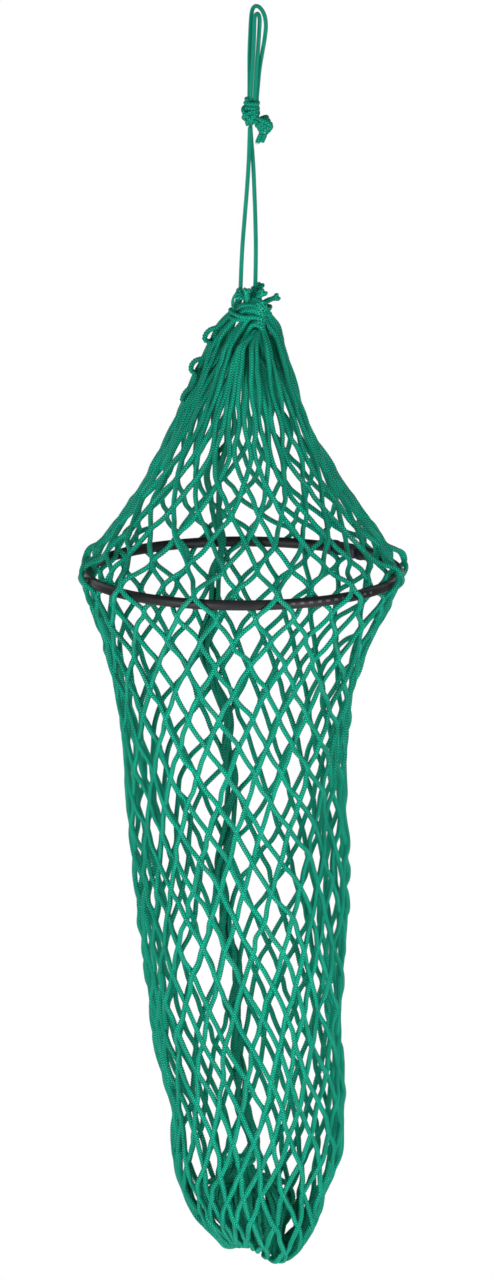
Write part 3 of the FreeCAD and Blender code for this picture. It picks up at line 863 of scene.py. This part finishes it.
def loop_knot():
    """The loop's knot: two wraps over a core, and the lobes of cord under them."""
    centre = middle("loop_knot")
    wraps = coil(centre + Vector((0.0008, 0, 0.0092)), (0.16, 0.0, 1.0), 0.0074, 0.4, 2.1, 0.0108, 0.03)
    core = [(-1.0, 1.0, 12.0), (0.5, -0.5, 5.0), (-1.0, 0.5, -2.0), (-1.5, -1.0, -8.0), (-1.2, 0.0, -14.0)]
    left = [(6.5, 3.0, 5.5), (8.4, -2.5, 3.0), (4.0, -7.6, 1.5), (-3.5, -7.8, -2.0), (-8.6, -3.2, -6.5),
            (-8.0, 3.6, -10.5), (-1.0, 6.2, -12.5), (4.8, 2.8, -9.5), (4.2, -4.4, -6.5),
            (-0.8, -6.8, -9.0), (-4.6, -4.2, -12.5), (-3.4, -2.8, -18.5)]
    right = [(-6.0, 4.0, 5.0), (-9.6, -1.6, 3.0), (-8.4, -6.2, -1.6), (-3.6, -8.4, -6.6),
             (1.4, -5.6, -10.5), (4.2, 1.4, -10.5), (7.8, 2.4, -5.0), (8.6, -3.2, -1.6),
             (5.4, -7.4, -3.2), (1.0, -7.4, -6.6), (-1.4, -3.2, -12.5), (0.4, 2.8, -18.5)]
    deep = [(-8.0, 1.0, 0.5), (-5.0, -5.2, -2.5), (1.0, -6.0, -1.6), (6.4, -2.0, -3.0), (4.4, 4.2, -5.0),
            (-3.0, 5.6, -6.5), (-7.2, 0.4, -4.5)]
    filling = [(-4.6, 2.0, 4.5), (-4.8, -2.6, 1.5), (-5.0, -3.6, -3.5), (-3.0, -1.0, -8.0)]
    routes = [beside(centre, points) for points in (core, left, right, deep, filling)]
    add_knot("knot_main", [wraps, *routes], "loop_knot")


def end_knot():
    """The smaller knot that joins the cord's ends."""
    centre = middle("end_knot") + Vector((-0.0010, 0, 0.0010))
    wraps = coil(centre, (0.52, 0.0, -0.85), 0.0078, 2.0, 3.1, 0.0150, 0.04)
    core = [(-9.0, 1.0, 8.0), (-3.0, 0.0, 4.0), (2.0, 0.5, -2.0), (1.0, 0.0, -9.0)]
    over = [(-11.0, 0.8, 9.0), (-7.0, -4.0, 7.5), (-1.0, -8.8, 6.0), (6.0, -9.0, 2.5), (10.0, -4.0, -3.0),
            (7.4, 1.0, -8.6), (3.4, -1.2, -12.2)]
    back = [(-11.0, 2.0, 6.0), (-7.6, 5.0, 3.0), (-5.6, 7.0, -3.0), (-3.6, 3.0, -8.5), (-2.2, 0.6, -12.4)]
    add_knot("knot_end", [wraps, *(beside(centre, points) for points in (core, over, back))], "end_knot")


loop_knot()
end_knot()


def melted_tip():
    """The long tail's end was melted shut: a small pale bead of hardened plastic."""
    nodes = Nodes("melted_plastic")
    cloud = nodes.noise(nodes.place(), 700.0, 3.0)
    nodes.shade("Base Color", nodes.mix(cloud, (0.45, 0.62, 0.55), (0.86, 0.92, 0.88)))
    nodes.bump(cloud, strength=0.4, distance=0.0004)
    nodes.shade("Roughness", 0.35)
    bpy.ops.mesh.primitive_uv_sphere_add(segments=20, ring_count=12, radius=1, location=LONG_TAIL[-1])
    bead = bpy.context.active_object
    bead.name = "tail_tip"
    bead.scale = (0.0026, 0.0025, 0.0019)
    bpy.ops.object.transform_apply(location=True, rotation=True, scale=True)
    for v in bead.data.vertices:
        v.co += v.co.normalized() * 0.0002 * math.sin(2900 * v.co.x + 2100 * v.co.z)
    bead.data.polygons.foreach_set("use_smooth", [True] * len(bead.data.polygons))
    bead.data.materials.append(nodes.material)
    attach(bead, "hanger")


melted_tip()

# ---------------------------------------------------------------- mouth

TURN_R = 0.0250
CUT_R = 0.0035       # the cut ends are frayed a little thicker than their cord
LIP_R = 0.0029
CUT_RING = 0.0011
MESH_LOOP = [
    (-0.0150, -0.0080, -0.3660), (-0.0200, -0.0090, -0.3600), (-0.0250, -0.0090, -0.3590),
    (-0.0290, -0.0080, -0.3640), (-0.0305, -0.0080, -0.3720), (-0.0290, -0.0080, -0.3780),
    (-0.0240, -0.0080, -0.3810),
]


def ring_line(centre, radius, low, high, lean, count=72):
    """A closed turn of cord that waves up and down a little."""
    points = []
    for step in range(count + 1):
        a = step / count * TAU
        r = radius * (1 + 0.03 * math.sin(3 * a + lean))
        z = low + (high - low) * (0.5 + 0.5 * math.sin(a * 2 + lean)) + 0.002 * math.sin(a + lean)
        points.append((centre.x + r * math.cos(a), centre.y + r * math.sin(a), z))
    return np.array(points)


def mouth_turns():
    """The drawcord's turns through the end meshes."""
    for number in (1, 2):
        node = f"mouth_cord_turn_{number}"
        low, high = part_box(node)
        level = (low.z + high.z) / 2
        centre = Vector(((low.x + high.x) / 2, 0, level))
        line = ring_line(centre, TURN_R, level - 0.003, level + 0.003, 1.4 * number)
        cord_piece(f"mouth_turn_{number}", [line], DRAW_CORD_D / 2, "mouth", (node,))


def hitches():
    """Netting cord wound round the foot of each leg."""
    for side, route in (("left", LEFT_LEG), ("right", RIGHT_LEG)):
        centre = Vector(route[-1]) + Vector((0.001, -0.001, -0.0035))
        wraps = coil(centre, (0.25, 0.2, 1.0), 0.0049, 0.3, 2.2, 0.0100, 0.05)
        cord_piece(f"hitch_{side}", [smooth_through(np.array(wraps), 6)], 0.0029, "mouth", (),
                   material=NETTING, sides=10)


def mesh_loop():
    """The small thin loop left standing at the mouth's left."""
    cord_piece("mouth_loop", [smooth_through(np.array(MESH_LOOP), 8)], 0.0019, "mouth", ("mouth_mesh_loop",),
               material=NETTING, sides=8)


def cut_end(number):
    """A cut end of netting cord: a stem with a slight waist and two lips where it has split open."""
    node = f"cut_end_{number}"
    out = middle(node) - MOUTH
    root = MOUTH + out * 0.35
    tip = MOUTH + out.normalized() * (out.length + 0.0075)
    out = (tip - root).normalized()
    side = out.cross(Vector((0.3, 1, 0.2))).normalized()
    line = smooth_through(np.array([root, root.lerp(tip, 0.55) + side * 0.0012, tip]), 10)
    share = np.linspace(0, 1, max(3, int(round(line_length(line) / CUT_RING)) + 1))
    waist = 0.10 * np.exp(-((share - 0.78) / 0.10) ** 2)
    flare = 0.30 * np.clip((share - 0.86) / 0.10, 0, 1)
    stem = cord_mesh([line], CUT_R * (1 - waist + flare), sides=12, ring=CUT_RING, relief=0.06)
    lips = []
    for turn in (-1, 1):
        lean = (out * 0.35 + side * turn).normalized()
        lip = np.array([tip - out * 0.0020, tip + lean * 0.0022, tip + lean * 0.0052])
        lips.append(smooth_through(lip, 8))
    split = cord_mesh(lips, LIP_R, sides=10, ring=0.0009, relief=0.08)
    piece = mesh_object(f"net_end_{number}", np.vstack([stem.verts, split.verts]),
                        np.vstack([stem.quads, split.quads + len(stem.verts)]),
                        np.vstack([stem.uvs, split.uvs]), NETTING)
    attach(piece, "mouth")
    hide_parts(node)


mouth_turns()
hitches()
mesh_loop()
for cut in range(1, 5):
    cut_end(cut)

# ---------------------------------------------------------------- seam down the back

# The seam wanders down the back of the netting: height and x.
SEAM = [
    (-0.404, -0.012), (-0.450, -0.024), (-0.500, -0.040), (-0.615, -0.052), (-0.700, -0.050),
    (-0.793, -0.055), (-0.846, -0.067), (-0.878, -0.058), (-0.906, -0.044), (-0.941, -0.036),
    (-0.985, -0.034), (-1.061, -0.034), (-1.111, -0.046), (-1.167, -0.041), (-1.218, -0.034),
    (-1.274, -0.021), (-1.296, -0.029), (-1.371, -0.021), (-1.448, -0.018), (-1.480, -0.016),
]
SEAM_TOP = -0.420
SEAM_END = -1.500
SEAM_DEPTH = 0.008    # how far inside the netting the seam runs
HOOP_DEPTH = 0.012    # and how much further in at the hoop
SEAM_CORDS = 4


def seam_spine():
    """The seam's middle line: down the back, and at the bottom forward and up to the gather."""
    z = np.arange(SEAM_TOP, SEAM_END, -0.004)
    table = table_line(SEAM)[::-1]
    x = np.interp(z, table[:, 0], table[:, 1])
    r = np.interp(-z, -Z_LINE[OUTER], R_LINE[OUTER]) - SEAM_DEPTH
    r = r - HOOP_DEPTH * np.exp(-((z - HOOP_Z) / 0.020) ** 2)
    y = np.sqrt(np.maximum(r ** 2 - (x - sway(z)) ** 2, 1e-6))
    down = ease((-1.405 - z) / 0.075)
    y = y * (1 - down) + 0.020 * down
    x = x * (1 - down) - 0.010 * down
    z = z + 0.030 * down * down
    return np.stack([x + 0.0022 * np.sin(z * 85), y, z], axis=1)


def seam_lines():
    """Four cords laced together: they twist about one another and swell where the lacing bunches them."""
    spine = seam_spine()
    z = spine[:, 2]
    cone = np.clip((z + 0.72) / 0.10, 0, 1)
    lines = []
    for number in range(SEAM_CORDS):
        turn = z * (34 + 3 * number) + number * TAU / SEAM_CORDS + 0.7 * np.sin(z * 21 + number)
        swell = 0.0050 + 0.0020 * np.sin(z * 47 + 1.3 * number)
        apart = 0.0075 if number % 2 else -0.0075
        line = spine.copy()
        line[:, 0] += np.cos(turn) * swell * (1 - 0.5 * cone) + cone * apart
        line[:, 1] += np.sin(turn) * swell
        lines.append(line)
    return lines


def build_seam():
    braid = cord_mesh(seam_lines(), NET_CORD_R, sides=8, ring=NET_RING, relief=0.10)
    for number, (stretch, top, here) in enumerate(stretches(braid)):
        if here.any():
            nodes = (stretch.seam_node,) if stretch.seam_node else ()
            # The seam's cords carry the darker painted-shade colour.
            net_piece(f"seam_{number}", braid, here, SEAM_PAINTED_SHADE, stretch.body, nodes, stretch.fold)


build_seam()

# ---------------------------------------------------------------- base gather


def base_details():
    for number in (1, 2):
        node = f"base_cord_turn_{number}"
        low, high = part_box(node)
        level = (low.z + high.z) / 2
        centre = (low + high) / 2
        radius = (high.x - low.x) / 2 - NET_CORD_R
        line = ring_line(Vector((centre.x, centre.y, level)), radius, level - 0.001, level + 0.001, number)
        cord_piece(f"base_turn_{number}", [line], NET_CORD_R, "base", (node,),
                   material=NETTING)
    centre = middle("base_knot")
    line = coil(centre, (1.0, 0.3, 0.2), 0.0048, 0.5, 2.2, 0.0080, 0.05)
    cord_piece("base_tie_knot", [smooth_through(np.array(line), 8)], NET_CORD_R, "base", ("base_knot",),
               material=NETTING)


base_details()

# ---------------------------------------------------------------- hoop


# The print on the pipe is replaced by a worn row of plain grey dashes at the front right.
DASHES_AT = math.radians(33)
DASHES_SPAN = math.radians(20)   # to each side
DASHES_ROUND = 105.0             # the wave of the dashes, in radians per radian round the hoop
DASHES_Z = HOOP_Z + 0.0012
DASH_HALF = 0.0014


def pipe_finish():
    """Black pipe with scuffs, a fine grain and the faint row of dashes."""
    nodes = Nodes("black_pipe_plastic")
    place = nodes.place()
    wide = nodes.noise(place, 22.0, 3.0)
    fine = nodes.noise(place, 900.0, 2.0)
    split = nodes.add("ShaderNodeSeparateXYZ")
    nodes.link(place, split.inputs[0])
    x = nodes.math("SUBTRACT", split.outputs["X"], HOOP_X)
    y = split.outputs["Y"]
    azimuth = nodes.math("ARCTAN2", x, nodes.math("MULTIPLY", y, -1.0))
    squares = nodes.math("ADD", nodes.math("POWER", x, 2.0), nodes.math("POWER", y, 2.0))
    reach = nodes.math("POWER", squares, 0.5)
    mark = nodes.math("COMPARE", azimuth, DASHES_AT, DASHES_SPAN)
    for limit in (
        nodes.math("GREATER_THAN", nodes.math("SINE", nodes.math("MULTIPLY", azimuth, DASHES_ROUND)), 0.15),
        nodes.math("COMPARE", split.outputs["Z"], DASHES_Z, DASH_HALF),
        nodes.math("GREATER_THAN", reach, HOOP_R + 0.003),
        nodes.math("GREATER_THAN", fine, 0.42),
    ):
        mark = nodes.math("MULTIPLY", mark, limit)
    black = nodes.mix(wide, (0.0085, 0.0085, 0.0100), (0.0180, 0.0175, 0.0200))
    nodes.shade("Base Color", nodes.mix(nodes.math("MULTIPLY", mark, 0.55), black, (0.20, 0.20, 0.21)))
    nodes.shade("Roughness", nodes.weighted([(wide, 0.22)], 0.34))
    nodes.bump(fine, strength=0.25, distance=0.0002)
    nodes.shade("Specular IOR Level", 0.35)
    return nodes.material


def plastic(name, colour, other, roughness):
    nodes = Nodes(name)
    grain = nodes.noise(nodes.place(), 500.0, 3.0)
    nodes.shade("Base Color", nodes.mix(grain, colour, other))
    nodes.shade("Roughness", nodes.weighted([(grain, 0.2)], roughness))
    nodes.bump(grain, strength=0.3, distance=0.0003)
    return nodes.material


def finish_nodes(material, *names):
    for name in names:
        node = frame["nodes"][name]
        node.data.materials.clear()
        node.data.materials.append(material)


def finish_hoop():
    finish_nodes(pipe_finish(), "hoop_pipe", "hoop_plug")
    finish_nodes(plastic("sleeve_rubber", (0.010, 0.010, 0.012), (0.018, 0.018, 0.021), 0.42), "hoop_sleeve")
    tie = plastic("blue_tie", (0.006, 0.010, 0.060), (0.012, 0.022, 0.110), 0.40)
    screw = plastic("dark_steel", (0.020, 0.022, 0.030), (0.040, 0.044, 0.060), 0.35)
    for side in ("left", "middle", "right"):
        finish_nodes(tie, f"hoop_band_{side}")
        finish_nodes(screw, f"hoop_band_screw_{side}")


finish_hoop()

# ---------------------------------------------------------------- light and floor


MIDDLE = (0, 0, -0.90)
GLOW = 0.07   # the white surroundings light the netting only this much


def area_light(name, place, aim, size, power):
    data = bpy.data.lights.new(name, "AREA")
    data.shape = "RECTANGLE"
    data.size, data.size_y = size
    data.energy = power
    lamp = bpy.data.objects.new(name, data)
    bpy.context.scene.collection.objects.link(lamp)
    lamp.location = place
    lamp.rotation_euler = (Vector(aim) - Vector(place)).to_track_quat("-Z", "Y").to_euler()
    lamp.visible_camera = False


def light_scene():
    area_light("key_left", (-1.1, -1.5, -0.85), MIDDLE, (0.9, 1.9), 28)
    area_light("key_right", (1.1, -1.5, -0.95), MIDDLE, (0.9, 1.9), 25)
    area_light("top", (0.0, -0.5, 1.2), (0, 0, -0.6), (1.2, 1.2), 3)
    area_light("back_left", (-1.2, 1.5, -0.5), MIDDLE, (0.9, 1.9), 10)
    area_light("back_right", (1.2, 1.5, -0.5), MIDDLE, (0.9, 1.9), 10)
    world = bpy.data.worlds.new("studio")
    bpy.context.scene.world = world
    world.use_nodes = True
    tree = world.node_tree
    tree.nodes.clear()
    path = tree.nodes.new("ShaderNodeLightPath")
    mix = tree.nodes.new("ShaderNodeMixShader")
    out = tree.nodes.new("ShaderNodeOutputWorld")
    tree.links.new(path.outputs["Is Camera Ray"], mix.inputs["Fac"])
    for slot, colour, strength in ((1, (0.95, 0.98, 1.0, 1), GLOW), (2, (1, 1, 1, 1), 1.0)):
        surroundings = tree.nodes.new("ShaderNodeBackground")
        surroundings.inputs["Color"].default_value = colour
        surroundings.inputs["Strength"].default_value = strength
        tree.links.new(surroundings.outputs[0], mix.inputs[slot])
    tree.links.new(mix.outputs[0], out.inputs["Surface"])
    bpy.context.scene.view_settings.view_transform = "Standard"


def make_floor():
    nodes = Nodes("floor_paint")
    grain = nodes.noise(nodes.place(), 3.0, 2.0)
    paint = nodes.mix(grain, (0.90, 0.90, 0.90), (0.96, 0.96, 0.96))
    nodes.shade("Base Color", paint)
    nodes.shade("Roughness", 0.9)
    nodes.shade("Emission Color", paint)
    nodes.shade("Emission Strength", 0.38)
    bpy.ops.mesh.primitive_circle_add(vertices=96, radius=1.6, fill_type="NGON", location=(0, 0, -2.05))
    floor = bpy.context.active_object
    floor.name = "floor"
    floor.data.materials.append(nodes.material)


light_scene()
make_floor()

bpy.context.view_layer.update()
